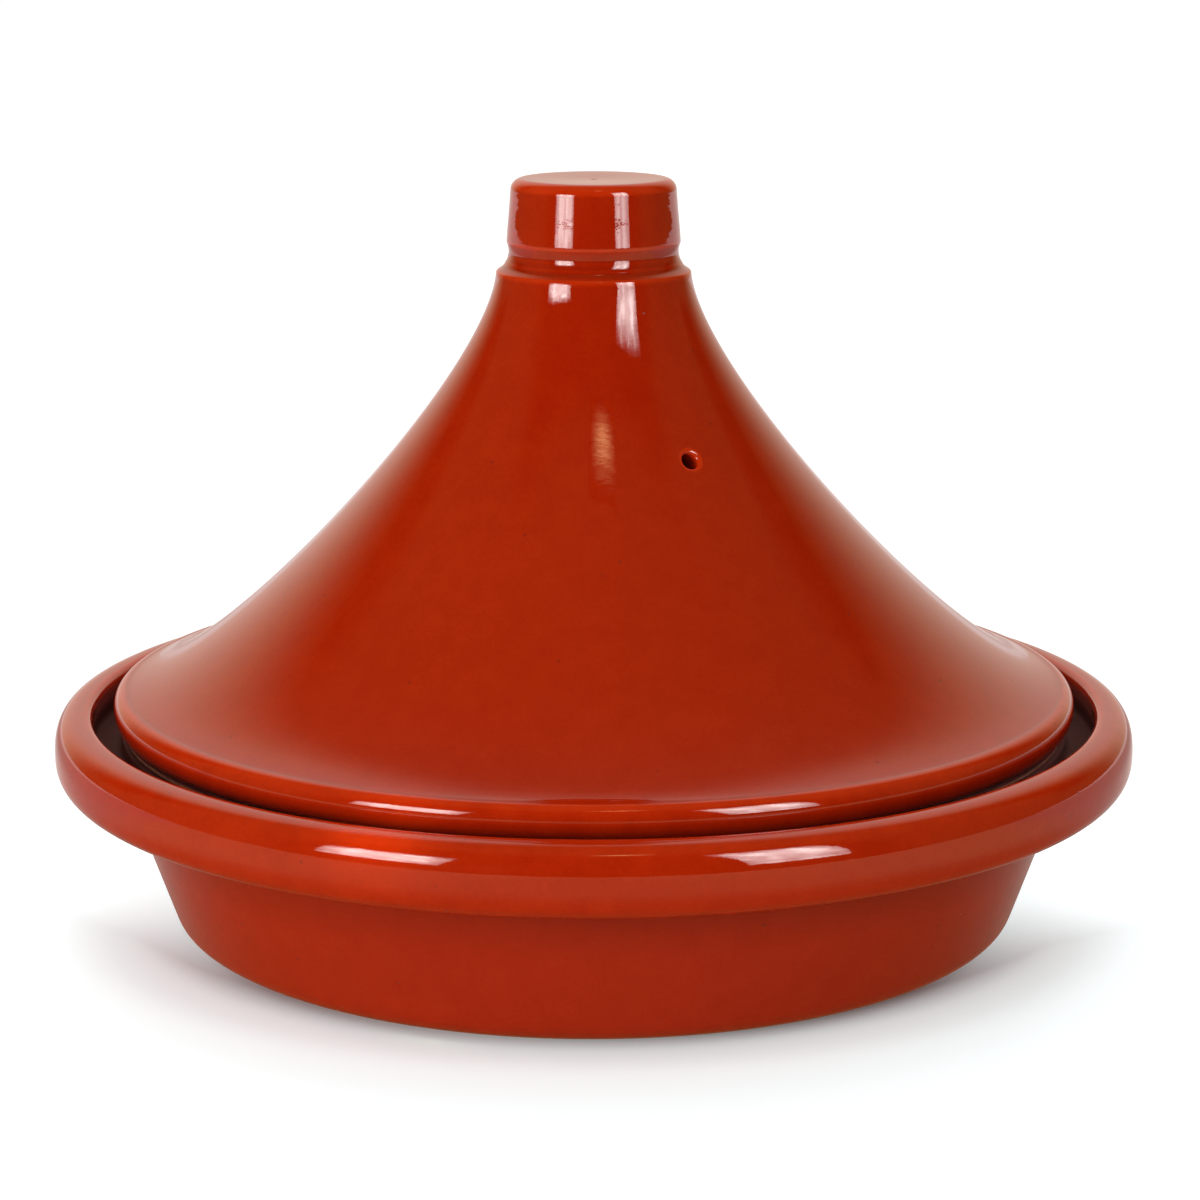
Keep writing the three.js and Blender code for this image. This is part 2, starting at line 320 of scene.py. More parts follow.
# Dish: one closed section from the middle of the underside round to the middle of the floor inside
def dish_outline():
    outline = Outline()
    widest = RIM_TOP - RIM_UPPER_HEIGHT
    underside = widest - RIM_LOWER_HEIGHT
    wall_foot = np.array([FOOT_RADIUS + WALL_FOOT_OUT, WALL_FOOT_HEIGHT])
    wall_top = np.array([RIM_RADIUS - RIM_OVERHANG, underside])
    wall_run = (wall_top - wall_foot) / np.linalg.norm(wall_top - wall_foot)
    ledge = RIM_TOP - LEDGE_DROP

    recess = FOOT_RADIUS - FOOT_RING_WIDTH
    recess_top = (recess - FOOT_RECESS, FOOT_RECESS)
    ring_inner = (recess, 0.0)
    slope = (recess - FOOT_EDGE_ROUND, FOOT_EDGE_ROUND)
    outline.add([(0.0, FOOT_RECESS)], bare=1.0)
    round_start = (recess_top[0] - RECESS_ROUND, FOOT_RECESS)
    round_end = (recess - RECESS_SLOPE_TOP, RECESS_SLOPE_TOP)
    ring_start = (recess + FOOT_EDGE_ROUND, 0.0)
    outline.add(between((4.0, FOOT_RECESS), round_start, 6.0), bare=1.0)
    outline.add(bezier([round_start, recess_top, round_end], 4), bare=1.0)
    outline.add(bezier([slope, ring_inner, ring_start], 4), bare=1.0)
    outline.add(between(ring_start, (FOOT_RADIUS - FOOT_EDGE_ROUND, 0.0), 2.2), bare=1.0)

    low_pull = (FOOT_RADIUS + FOOT_LOW_PULL * math.cos(FOOT_RISE), FOOT_LOW_PULL * math.sin(FOOT_RISE))
    high_pull = wall_foot - FOOT_HIGH_PULL * wall_run
    foot = bezier([(FOOT_RADIUS, 0.0), low_pull, high_pull, wall_foot], 60)
    foot = evenly(foot, 18)
    outline.add([tuple(p) for p in foot[:3]], satin=1.0, bare=0.7)
    outline.add([tuple(p) for p in foot[3:]], satin=1.0)
    wall_end = wall_top - UNDER_RIM_ROUND * wall_run
    wall = between(wall_foot, wall_end, 1.0)
    # Painted shade darkening the wall's top towards the rim
    shaded = len(wall) - UNDER_RIM_SHADE_STEPS
    outline.add(wall[:shaded + 1], satin=1.0)
    outline.add(wall[shaded:], satin=1.0, shade=(0.0, UNDER_RIM_SHADE))
    under_rim_end = (wall_top[0] + UNDER_RIM_ROUND, underside)
    outline.add(bezier([wall_end, wall_top, under_rim_end], 5), satin=1.0, shade=UNDER_RIM_SHADE)

    lower_centre = (RIM_RADIUS - RIM_ROUND_WIDTH, widest)
    outline.add(between(under_rim_end, (lower_centre[0], underside)), satin=1.0)
    lower_roll = roll(lower_centre, RIM_ROUND_WIDTH, RIM_LOWER_HEIGHT, RIM_SQUARENESS, -90, 0, 22)
    outline.add(lower_roll, satin=(1.0, 0.0))
    crest = (RIM_RADIUS - RIM_CREST_INSET, RIM_TOP)
    outline.add(roll((crest[0], widest), RIM_CREST_INSET, RIM_UPPER_HEIGHT, RIM_SQUARENESS, 0, 90, 24))

    face_top = np.array([RIM_RADIUS - RIM_INNER_INSET, RIM_TOP - RIM_INNER_ROUND])
    outline.add(bezier([crest, (face_top[0], RIM_TOP), face_top], 8))
    gutter_outer = np.array([RIM_RADIUS - GUTTER_OUTER_INSET, ledge - GUTTER_DEPTH])
    face_run = (face_top - gutter_outer) / np.linalg.norm(face_top - gutter_outer)
    face_end = gutter_outer + CHANNEL_ROUND * face_run
    gutter_inner = np.array([LIP_RADIUS - LIP_OVERHANG + GUTTER_INNER_OUT, gutter_outer[1]])
    # Painted shade down the rim's inner face, in the channel and out onto the ledge
    outline.add(between(face_top, face_end, 1.0)[1:-1], shade=(0.1, 1.0))
    outline.add(bezier([face_end, gutter_outer, gutter_outer - (CHANNEL_ROUND, 0)], 6), shade=1.0)
    gutter_rise = gutter_inner + (0, CHANNEL_ROUND)
    outline.add(bezier([gutter_inner + (CHANNEL_ROUND, 0), gutter_inner, gutter_rise], 6), shade=1.0)
    gutter_edge = np.array([gutter_inner[0], ledge])
    edge_low = gutter_edge - (0, GUTTER_EDGE_ROUND)
    edge_in = gutter_edge - (GUTTER_EDGE_ROUND, 0)
    outline.add(bezier([edge_low, gutter_edge, edge_in], 4), shade=1.0)

    def inner_wall(height):
        lean = wall_run[0] / wall_run[1]
        return np.array([wall_foot[0] + (height - wall_foot[1]) * lean - DISH_WALL / wall_run[1], height])

    ledge_edge = inner_wall(ledge)
    ledge_start = ledge_edge + (LEDGE_ROUND, 0)
    outline.add(between(edge_in, ledge_start, 1.8), shade=(1.0, 0.0))
    ledge_end = ledge_edge - LEDGE_ROUND * wall_run
    outline.add(bezier([ledge_start, ledge_edge, ledge_end], 6))
    floor = FOOT_RECESS + FLOOR_THICKNESS
    floor_corner = inner_wall(floor)
    bowl_start = floor_corner + FLOOR_ROUND * wall_run
    bowl_end = floor_corner - (FLOOR_ROUND, 0)
    outline.add(between(ledge_end, bowl_start, 2.4))
    outline.add([tuple(p) for p in evenly(bezier([bowl_start, floor_corner, bowl_end], 60), 20)])
    outline.add(between(bowl_end, (5.0, floor), 5.0))
    outline.add([(0.0, floor)])
    return outline


# Lid: one closed section from under the knob, down the inside, round the lip and up to the knob's top
def cone_curve():
    shoulder = KNOB_TOP - KNOB_HEIGHT
    top = np.array([SHOULDER_RADIUS, shoulder])
    foot = np.array([LIP_RADIUS - CONE_FOOT_INSET, SEAT + LIP_TOP + CONE_FOOT_RISE])
    under_top = top + CONE_TOP_PULL * np.array([math.sin(CONE_TOP_SLOPE), -math.cos(CONE_TOP_SLOPE)])
    above_foot = foot + CONE_FOOT_PULL * np.array([-math.cos(CONE_FOOT_SLOPE), math.sin(CONE_FOOT_SLOPE)])
    return np.array(bezier([foot, above_foot, under_top, top], 1200))


def offset_inwards(curve, distance):
    run = np.gradient(curve, axis=0)
    run /= np.linalg.norm(run, axis=1)[:, None]
    return curve + distance * np.column_stack([-run[:, 1], run[:, 0]])


cone = cone_curve()
cone_inside = offset_inwards(cone, LID_WALL)


def lid_outline():
    """The lid's section, and the row ranges of the cone's inner and outer face."""
    outline = Outline()
    shoulder = KNOB_TOP - KNOB_HEIGHT
    hollow_top = KNOB_TOP - KNOB_TOP_THICKNESS
    hollow = NECK_RADIUS - LID_WALL
    outline.add([(0.0, hollow_top)])
    dome = bezier([(0.0, hollow_top), (hollow, hollow_top), (hollow, hollow_top - hollow)], 12)
    outline.add(dome[1:])
    outline.add(between(dome[-1], cone_inside[-1], 2.0)[:-1])
    inner_rows = outline.add([tuple(p) for p in evenly(cone_inside, CONE_STEPS)[::-1]])

    seat_outer = LIP_RADIUS - LIP_OVERHANG
    seat_inner = seat_outer - SEAT_WIDTH
    seat_low = SEAT + SEAT_ROUND
    outline.add(between(cone_inside[0], (seat_inner, seat_low), 1.2)[1:])
    inner_edge = [(seat_inner, seat_low), (seat_inner, SEAT), (seat_inner + SEAT_ROUND, SEAT)]
    outer_edge = [(seat_outer - SEAT_ROUND, SEAT), (seat_outer, SEAT), (seat_outer, seat_low)]
    outline.add(bezier(inner_edge, 5), bare=1.0)
    outline.add(bezier(outer_edge, 5), bare=1.0)
    lower_centre = (seat_outer, SEAT + LIP_WIDEST)
    # Painted shade under the lip: on the face below it and on its lower roll, fading out towards its widest
    outline.add(between((seat_outer, seat_low), (seat_outer, SEAT + LIP_UNDERSIDE), 1.0)[1:], shade=1.0)
    lower_roll = roll(lower_centre, LIP_OVERHANG, LIP_WIDEST - LIP_UNDERSIDE, 2, -90, 0, 12)
    outline.add(lower_roll[:7], shade=(1.0, 0.35))
    outline.add(lower_roll[7:], shade=(0.3, 0.0))
    upper_centre = (LIP_RADIUS - LIP_ROLL_WIDTH, SEAT + LIP_WIDEST)
    outline.add(roll(upper_centre, LIP_ROLL_WIDTH, LIP_TOP - LIP_WIDEST, 2, 0, 90, 16))
    foot = tuple(cone[0])
    valley = (foot[0] + CONE_FOOT_RISE / math.tan(CONE_FOOT_SLOPE), SEAT + LIP_TOP)
    outline.add(bezier([(upper_centre[0], SEAT + LIP_TOP), valley, foot], 10))
    flank = [tuple(p) for p in evenly(cone, CONE_STEPS)]
    first_row, _ = outline.add(flank[:SATIN_STEPS], satin=(1.0, 0.0))
    _, last_row = outline.add(flank[SATIN_STEPS:])
    outer_rows = (first_row, last_row)

    neck = [
        (SHOULDER_RADIUS, shoulder - 0.01),
        (28.22, shoulder + 0.3),
        (27.85, shoulder + 0.62),
        (27.15, shoulder + 1.1),
        (26.5, shoulder + 1.6),
        (26.05, shoulder + 2.15),
        (25.7, shoulder + 2.8),
        (25.3, shoulder + 3.5),
        (25.0, shoulder + 4.3),
        (NECK_RADIUS + 0.15, shoulder + 5.2),
        (NECK_RADIUS + 0.07, shoulder + 5.9),
        (NECK_RADIUS + 0.13, shoulder + 6.8),
        (24.95, shoulder + 7.6),
        (25.17, shoulder + 8.3),
        (KNOB_RADIUS - 0.02, shoulder + 8.75),
        (KNOB_RADIUS, shoulder + 9.15),
    ]
    outline.add(flowing(neck, 52)[1:])
    top_radius = KNOB_RADIUS - KNOB_TAPER
    edge_centre = (top_radius - KNOB_EDGE_ROUND, KNOB_TOP - KNOB_EDGE_ROUND)
    knob_side = [neck[-1], (25.0, shoulder + 13), (24.55, shoulder + 18), (top_radius, edge_centre[1])]
    outline.add(flowing(knob_side, 30))
    edge = roll(edge_centre, KNOB_EDGE_ROUND, KNOB_EDGE_ROUND, 2, 0, 90, 14)
    outline.add(edge)
    dip = KNOB_TOP - KNOB_DISH
    dimple = dip - DIMPLE_DEPTH
    near_edge = (edge_centre[0] * 0.6, KNOB_TOP - 0.1)
    outline.add(bezier([edge[-1], near_edge, (6.0, dip), (DIMPLE_RADIUS, dip)], 14))
    outline.add(bezier([(DIMPLE_RADIUS, dip), (0.9, dip), (0.5, dimple), (0.2, dimple)], 4))
    outline.add([(0.0, dimple)])
    return outline, inner_rows, outer_rows


def on_curve(curve):
    """Radius and height by length along a curve, and the length at a height."""
    along = np.concatenate([[0], np.cumsum(np.linalg.norm(np.diff(curve, axis=0), axis=1))])

    def point(length):
        return np.interp(length, along, curve[:, 0]), np.interp(length, along, curve[:, 1])

    def length_at(height):
        return float(np.interp(height, curve[:, 1], along))

    return point, length_at, along[-1]


def rounded(starts, corners, ends, share):
    """The points at one share of the way round a loop of rounded corners."""
    points = []
    for a, b, c in zip(starts, corners, ends):
        points.append((1 - share)**2 * a + 2 * share * (1 - share) * b + share**2 * c)
    return points


def drill_vent(lid, inner_rows, outer_rows):
    """Knits the slanting vent into windows of the cone's outer and inner face."""
    outer_point, outer_length, outer_total = on_curve(cone)
    inner_point, inner_length, inner_total = on_curve(cone_inside)
    mouth_length = outer_length(SEAT + VENT_HEIGHT)
    mouth_radius, mouth_height = outer_point(mouth_length)
    axis = np.array([math.cos(VENT_RISE), math.sin(VENT_RISE)])

    def outer_at(across, up):
        radius, height = outer_point(mouth_length + up)
        return np.array(placed(radius, VENT_BEARING + across / mouth_radius, height)) / MM

    # Where the vent's axis comes out on the inner face
    reach = np.linspace(0, 4 * LID_WALL, 4000)
    path = np.array([mouth_radius, mouth_height]) - reach[:, None] * axis
    inside = np.interp(path[:, 1], cone_inside[:, 1], cone_inside[:, 0])
    depth = reach[np.argmax(path[:, 0] < inside)]
    exit_length = inner_length(mouth_height - depth * axis[1])
    exit_radius, _ = inner_point(exit_length)

    def inner_at(across, up):
        radius, height = inner_point(exit_length + up)
        return np.array(placed(radius, VENT_BEARING + across / exit_radius, height)) / MM

    slope = np.array(outer_point(mouth_length + 1)) - np.array(outer_point(mouth_length - 1))
    lean = math.atan2(-slope[0], slope[1])
    stretch = 1 / math.cos(lean - VENT_RISE)

    column = round(VENT_BEARING / (2 * math.pi) * TURN_STEPS) - VENT_WINDOW
    outer_row = outer_rows[0] + round(mouth_length / outer_total * CONE_STEPS)
    inner_row = inner_rows[0] + round((1 - exit_length / inner_total) * CONE_STEPS)
    outer_window = (outer_row - VENT_WINDOW, outer_row + VENT_WINDOW, column, 2 * VENT_WINDOW)
    inner_window = (inner_row - VENT_WINDOW, inner_row + VENT_WINDOW, column, 2 * VENT_WINDOW)
    lid.skin([outer_window, inner_window])

    def loop_places(window, rows, total, radius, centre_length, downwards):
        """Places and vertices of a window's loop, in the order of their bearing from the vent."""
        places = []
        verts = []
        for row, col in lid.ring_of(window):
            share = (row - rows[0]) / CONE_STEPS
            length = total * (1 - share if downwards else share)
            angle = 2 * math.pi * col / TURN_STEPS - VENT_BEARING
            angle = (angle + math.pi) % (2 * math.pi) - math.pi
            places.append((angle * radius, length - centre_length))
            verts.append(lid.rows[row][col])
        places = np.array(places)
        order = np.argsort(np.arctan2(places[:, 1], places[:, 0]))
        return places[order], [verts[i] for i in order]

    outer_places, outer_loop = loop_places(
        outer_window, outer_rows, outer_total, mouth_radius, mouth_length, False)
    inner_places, inner_loop = loop_places(
        inner_window, inner_rows, inner_total, exit_radius, exit_length, True)

    bearing = np.arctan2(outer_places[:, 1], outer_places[:, 0])
    inward = np.array([
        -axis[0] * math.cos(VENT_BEARING), -axis[0] * math.sin(VENT_BEARING), -axis[1],
    ])
    softness = 0.5 + 0.5 * np.cos(bearing - VENT_SOFT_SIDE)
    edge_round = VENT_EDGE_SHARP + (VENT_EDGE_SOFT - VENT_EDGE_SHARP) * softness**1.5
    mouth = VENT_RADIUS * np.column_stack([np.cos(bearing), stretch * np.sin(bearing)])
    brim = mouth * (1 + edge_round / VENT_RADIUS)[:, None]

    def ring(points, edge=0.0):
        return [lid.vert(tuple(np.array(p) * MM), (0.0, 0.0, 0.0, edge)) for p in points]

    rings = [outer_loop]
    for share in (0.3, 0.55, 0.75, 0.9):
        places = outer_places + (brim - outer_places) * share
        rings.append(ring([outer_at(*p) for p in places]))
    starts = [outer_at(*p) for p in brim]
    corners = [outer_at(*p) for p in mouth]
    ends = [c + inward * r for c, r in zip(corners, edge_round)]
    for share in np.linspace(0, 1, 7):
        rings.append(ring(rounded(starts, corners, ends, share), edge=1.0))

    inner_brim = mouth * (1 + VENT_INNER_ROUND / VENT_RADIUS)
    exits = [inner_at(*p) for p in mouth]
    exit_starts = [e - inward * VENT_INNER_ROUND for e in exits]
    for share in (0.25, 0.5, 0.75, 1.0):
        rings.append(ring([a + (b - a) * share for a, b in zip(ends, exit_starts)]))
    exit_ends = [inner_at(*p) for p in inner_brim]
    for share in np.linspace(0, 1, 4)[1:]:
        rings.append(ring(rounded(exit_starts, exits, exit_ends, share)))
    for share in (0.4, 0.7):
        places = inner_brim + (inner_places - inner_brim) * share
        rings.append(ring([inner_at(*p) for p in places]))
    rings.append(inner_loop)
    for ring_a, ring_b in zip(rings, rings[1:]):
        lid.knit(ring_a, ring_b)


def new_material(name):
    """A material without nodes, and its node tree."""
    material = bpy.data.materials.new(name)
    material.use_nodes = True
    material.node_tree.nodes.clear()
    return material, material.node_tree


def plug(tree, socket, value):
    """Sets an input, or links it where the value is a socket."""
    if isinstance(value, bpy.types.NodeSocket):
        tree.links.new(value, socket)
    else:
        socket.default_value = value


def node(tree, kind, **settings):
    """A node with some of its inputs or properties set."""
    made = tree.nodes.new(kind)
    for key, value in settings.items():
        name = key.replace("_", " ")
        if name in made.inputs:
            plug(tree, made.inputs[name], value)
        else:
            setattr(made, key, value)
    return made


def math_node(tree, operation, *values, clamp=False):
    made = node(tree, "ShaderNodeMath", operation=operation, use_clamp=clamp)
    for socket, value in zip(made.inputs, values):
        plug(tree, socket, value)
    return made.outputs[0]


def blend(tree, share, first, second):
    """A colour between two others."""
    made = node(tree, "ShaderNodeMix", data_type="RGBA")
    for socket, value in zip((made.inputs[0], made.inputs[6], made.inputs[7]), (share, first, second)):
        plug(tree, socket, value)
    return made.outputs[2]


def ramp(tree, value, low, high):
    """Zero below low, one above high, smooth between."""
    made = node(tree, "ShaderNodeMapRange", interpolation_type="SMOOTHSTEP", Value=value)
    made.inputs["From Min"].default_value = low
    made.inputs["From Max"].default_value = high
    return made.outputs["Result"]


def times(tree, first, second):
    return math_node(tree, "MULTIPLY", first, second)


def weighted(tree, value, weight, rest):
    """The value times its weight, added to the rest."""
    return math_node(tree, "MULTIPLY_ADD", value, weight, rest)


def without(tree, value):
    """One less the value."""
    return math_node(tree, "SUBTRACT", 1.0, value)


def from_middle(tree, value):
    """How far a value between 0 and 1 is from the middle, as a share of one half."""
    return math_node(tree, "ABSOLUTE", weighted(tree, value, 2.0, -1.0))


def noise(tree, place, scale, detail, roughness=0.5):
    made = node(tree, "ShaderNodeTexNoise", Vector=place, Scale=scale, Detail=detail, Roughness=roughness)
    return made.outputs["Fac"]


def scaled(tree, place, scale):
    return node(tree, "ShaderNodeMapping", Vector=place, Scale=scale).outputs[0]


def vector_math(tree, operation, *values):
    made = node(tree, "ShaderNodeVectorMath", operation=operation)
    for socket, value in zip(made.inputs, values):
        plug(tree, socket, value)
    return made


def length(tree, vector):
    return vector_math(tree, "LENGTH", vector).outputs["Value"]


def glow(tree, colour, strength):
    return node(tree, "ShaderNodeEmission", Color=colour, Strength=strength).outputs[0]


def surface(tree, *shaders):
    """Ends a material with the sum of the shaders."""
    total = shaders[0]
    for shader in shaders[1:]:
        both = node(tree, "ShaderNodeAddShader")
        tree.links.new(total, both.inputs[0])
        tree.links.new(shader, both.inputs[1])
        total = both.outputs[0]
    output = tree.nodes.new("ShaderNodeOutputMaterial")
    tree.links.new(total, output.inputs["Surface"])


def darker(colour, share):
    return tuple(c * share for c in colour[:3]) + (1.0,)


GLAZE_IOR = 1.65
RELIEF_DEPTH = 0.00006
RING_PITCH = 0.0047
# Colour of the painted shade in the channel, under the lid's lip and under the rim
PAINTED_SHADE_DARK = (0.055, 0.0022, 0.0005, 1)
CLAY_DARK = (0.34, 0.115, 0.05, 1)
CLAY_PALE = (0.50, 0.205, 0.105, 1)


def glaze(name, deep, bright, thin, gloss, satin_gloss):
    """Clear red glaze over red clay: mottled, thinner and lighter on edges, darkened by painted shade where
    marked, bare clay where unglazed.
    """
    material, tree = new_material(name)
    place = node(tree, "ShaderNodeTexCoord").outputs["Object"]
    marks = {}
    for mark in MARKS:
        marks[mark] = node(tree, "ShaderNodeAttribute", attribute_name=mark).outputs["Fac"]

    cloud = noise(tree, place, 16.0, 4.0, 0.55)
    mottle = noise(tree, place, 130.0, 3.0, 0.6)
    grain = noise(tree, place, 900.0, 2.0, 0.6)
    broad = ramp(tree, cloud, 0.3, 0.7)
    fine = ramp(tree, mottle, 0.25, 0.75)
    tiny = ramp(tree, grain, 0.3, 0.7)
    share = weighted(tree, broad, 0.12, times(tree, fine, 0.24))
    share = weighted(tree, tiny, 0.24, share)
    colour = blend(tree, share, deep, bright)

    # Thin glaze on tight outward rounds, pooled glaze in the hollows
    uneven = math_node(tree, "SUBTRACT", mottle, 0.5)
    edge = weighted(tree, uneven, 0.5, marks["edge"])
    colour = blend(tree, times(tree, ramp(tree, edge, 0.3, 1.2), 0.8), colour, thin)
    hollow = ramp(tree, times(tree, edge, -1.0), 0.15, 0.9)
    colour = blend(tree, times(tree, hollow, 0.45), colour, darker(deep, 0.62))

    # Pinholes and iron specks
    cells = node(tree, "ShaderNodeTexVoronoi", Vector=place, Scale=420.0, Randomness=1.0)
    rare = node(tree, "ShaderNodeSeparateColor", Color=cells.outputs["Color"]).outputs[0]
    dot = without(tree, ramp(tree, cells.outputs["Distance"], 0.1, 0.3))
    speck = times(tree, ramp(tree, rare, 0.985, 0.99), dot)
    colour = blend(tree, times(tree, speck, 0.55), colour, darker(deep, 0.4))

    # Painted shade: darker colour in the channel, under the lid's lip and under the rim
    colour = blend(tree, times(tree, marks["shade"], 0.85), colour, PAINTED_SHADE_DARK)

    # Bare clay, with an uneven glaze line
    bare = ramp(tree, weighted(tree, uneven, 0.7, marks["bare"]), 0.45, 0.55)
    colour = blend(tree, bare, colour, blend(tree, tiny, CLAY_DARK, CLAY_PALE))

    # How matt it is
    polish = weighted(tree, fine, 0.02, gloss)
    polish = weighted(tree, marks["satin"], satin_gloss, polish)
    polish = weighted(tree, ramp(tree, marks["shade"], 0.4, 0.9), 0.7, polish)
    polish = weighted(tree, speck, 0.2, polish)
    polish = math_node(tree, "MULTIPLY_ADD", bare, 0.75, polish, clamp=True)

    # Throwing rings, orange peel, level streaks and pinholes in the glaze, grain in the clay
    height = node(tree, "ShaderNodeSeparateXYZ", Vector=place).outputs["Z"]
    height = weighted(tree, math_node(tree, "SUBTRACT", cloud, 0.5), 0.012, height)
    rings = math_node(tree, "SINE", times(tree, height, 2 * math.pi / RING_PITCH))
    peel = noise(tree, place, 310.0, 1.5, 0.45)
    streaks = noise(tree, scaled(tree, place, (240.0, 240.0, 820.0)), 1.0, 2.0)
    relief = weighted(tree, peel, 0.16, times(tree, rings, 0.02))
    relief = weighted(tree, streaks, 0.14, relief)
    relief = weighted(tree, speck, -0.3, relief)
    relief = weighted(tree, times(tree, bare, grain), 4.0, relief)
    bump = node(tree, "ShaderNodeBump", Height=relief, Strength=1.0, Distance=RELIEF_DEPTH)

    shader = node(tree, "ShaderNodeBsdfPrincipled", Base_Color=colour, Roughness=polish, IOR=GLAZE_IOR)
    tree.links.new(bump.outputs["Normal"], shader.inputs["Normal"])
    surface(tree, shader.outputs[0])
    return material


dish = Turned(dish_outline())
dish.skin()
dish_body = dish.object("dish_body")
dish_body.data.materials.append(glaze(
    "dish_glaze",
    deep=(0.374, 0.0145, 0.0009, 1),
    bright=(0.484, 0.0232, 0.0017, 1),
    thin=(0.60, 0.03, 0.002, 1),
    gloss=0.03,
    satin_gloss=0.16,
))
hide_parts("base_dish")
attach(dish_body, "dish")

lid_section, lid_inner_rows, lid_outer_rows = lid_outline()
lid = Turned(lid_section)
drill_vent(lid, lid_inner_rows, lid_outer_rows)
lid_body = lid.object("lid_body")
lid_body.data.materials.append(glaze(
    "lid_glaze",
    deep=(0.342, 0.0115, 0.0007, 1),
    bright=(0.443, 0.021, 0.0015, 1),
    thin=(0.58, 0.029, 0.002, 1),
    gloss=0.02,
    satin_gloss=0.1,
))
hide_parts("lid")
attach(lid_body, "lid")


# Studio: a pale floor, lamps for the colour, and cards that only reflections see for the gloss
STAGE_CENTRE = (0, 0, 0.1)
DOME_REACH = 6.0
PANE_REACH = 0.8
LAMP_SLATS = 11


def plain_light(name, colour, strength):
    material, tree = new_material(name)
    surface(tree, glow(tree, colour, strength))
    return material


def pale_floor():
    """White that keeps shadows: mostly lit by the lamps, and shining a little for the camera, with painted
    light and shadow round the foot.
    """
    material, tree = new_material("floor_white")
    place = node(tree, "ShaderNodeTexCoord").outputs["Object"]
    parts = node(tree, "ShaderNodeSeparateXYZ", Vector=place)
    across, along = parts.outputs["X"], parts.outputs["Y"]
    aside = math_node(tree, "ABSOLUTE", across)
    rays = node(tree, "ShaderNodeLightPath")
    mirrored = rays.outputs["Is Glossy Ray"]
    far = length(tree, place)
    foot_far = length(tree, scaled(tree, place, (1.0, 1.16, 1.0)))

    # What the camera sees of it: painted shadow dark at the foot, painted light paler beside the wall, lit
    # by the lamps further out; the glow near the object is less red, to cancel light bounced off the red
    # glaze
    near = ramp(tree, foot_far, 0.119, 0.143)
    further = ramp(tree, foot_far, 0.14, 0.165)
    clear = ramp(tree, far, 0.16, 0.3)
    distant = ramp(tree, far, 0.9, 4.0)
    beside = times(tree, weighted(tree, across, 0.48, 0.75), ramp(tree, along, -0.085, 0.03))
    shine = weighted(tree, further, 0.16, times(tree, near, 0.42))
    shine = math_node(tree, "MAXIMUM", shine, beside)
    shine = weighted(tree, clear, -0.31, shine)
    shine = weighted(tree, distant, 0.22, shine)
    seen = math_node(tree, "MAXIMUM", rays.outputs["Is Camera Ray"], rays.outputs["Is Transmission Ray"])
    tint = blend(tree, clear, (0.86, 1.0, 1.0, 1), (1.0, 1.0, 1.0, 1))

    # What the glaze mirrors of it is painted: a painted reflection of warm shade and red bounce next to the
    # object in front, paler at the sides and behind
    open_floor = ramp(tree, far, 0.16, 0.34)
    side = ramp(tree, along, -0.1, 0.06)
    behind = times(tree, without(tree, ramp(tree, aside, 0.14, 0.34)), ramp(tree, along, 0.0, 0.16))
    behind = math_node(tree, "MAXIMUM", behind, ramp(tree, along, 0.5, 1.1))
    opening = weighted(tree, ramp(tree, aside, 0.04, 0.3), 0.12, 0.08)
    image = weighted(tree, open_floor, opening, 0.3)
    image = weighted(tree, side, math_node(tree, "SUBTRACT", 0.43, image), image)
    image = weighted(tree, behind, 0.52, image)
    warm = blend(tree, open_floor, (1.0, 0.32, 0.12, 1), (1.0, 0.82, 0.45, 1))
    warm = blend(tree, side, warm, (1.0, 0.82, 0.73, 1))
    warm = blend(tree, behind, warm, (1.0, 0.87, 0.82, 1))

    # Reflections see no lit floor here, only the painted image
    matt = node(tree, "ShaderNodeBsdfDiffuse", Color=weighted(tree, mirrored, -0.8, 0.8))
    shining = glow(tree, tint, times(tree, seen, shine))
    surface(tree, matt.outputs[0], shining, glow(tree, warm, times(tree, mirrored, image)))
    return material


def card(name, verts, faces, material):
    """A card that only reflections see."""
    mesh = bpy.data.meshes.new(name)
    mesh.from_pydata(verts, [], faces)
    mesh.materials.append(material)
    made = bpy.data.objects.new(name, mesh)
    bpy.context.scene.collection.objects.link(made)
    made.visible_camera = False
    made.visible_diffuse = False
    made.visible_shadow = False
    return made


def around(bearing, up, reach, centre=STAGE_CENTRE):
    """A point seen from the centre at a bearing from the front and a height above level, in degrees."""
    turn, rise = math.radians(bearing), math.radians(up)
    level = reach * math.cos(rise)
    x, y, z = centre
    return (x + level * math.sin(turn), y - level * math.cos(turn), z + reach * math.sin(rise))


def sky_card(name, first, last, low, high, reach, material):
    """A curved card round the object, between two bearings and two heights in degrees."""
    columns, rows = 24, 16
    verts = []
    for i in range(rows + 1):
        for j in range(columns + 1):
            bearing = first + (last - first) * j / columns
            verts.append(around(bearing, low + (high - low) * i / rows, reach))
    faces = []
    for i in range(rows):
        for j in range(columns):
            a = i * (columns + 1) + j
            faces.append((a, a + 1, a + columns + 2, a + columns + 1))
    return card(name, verts, faces, material)


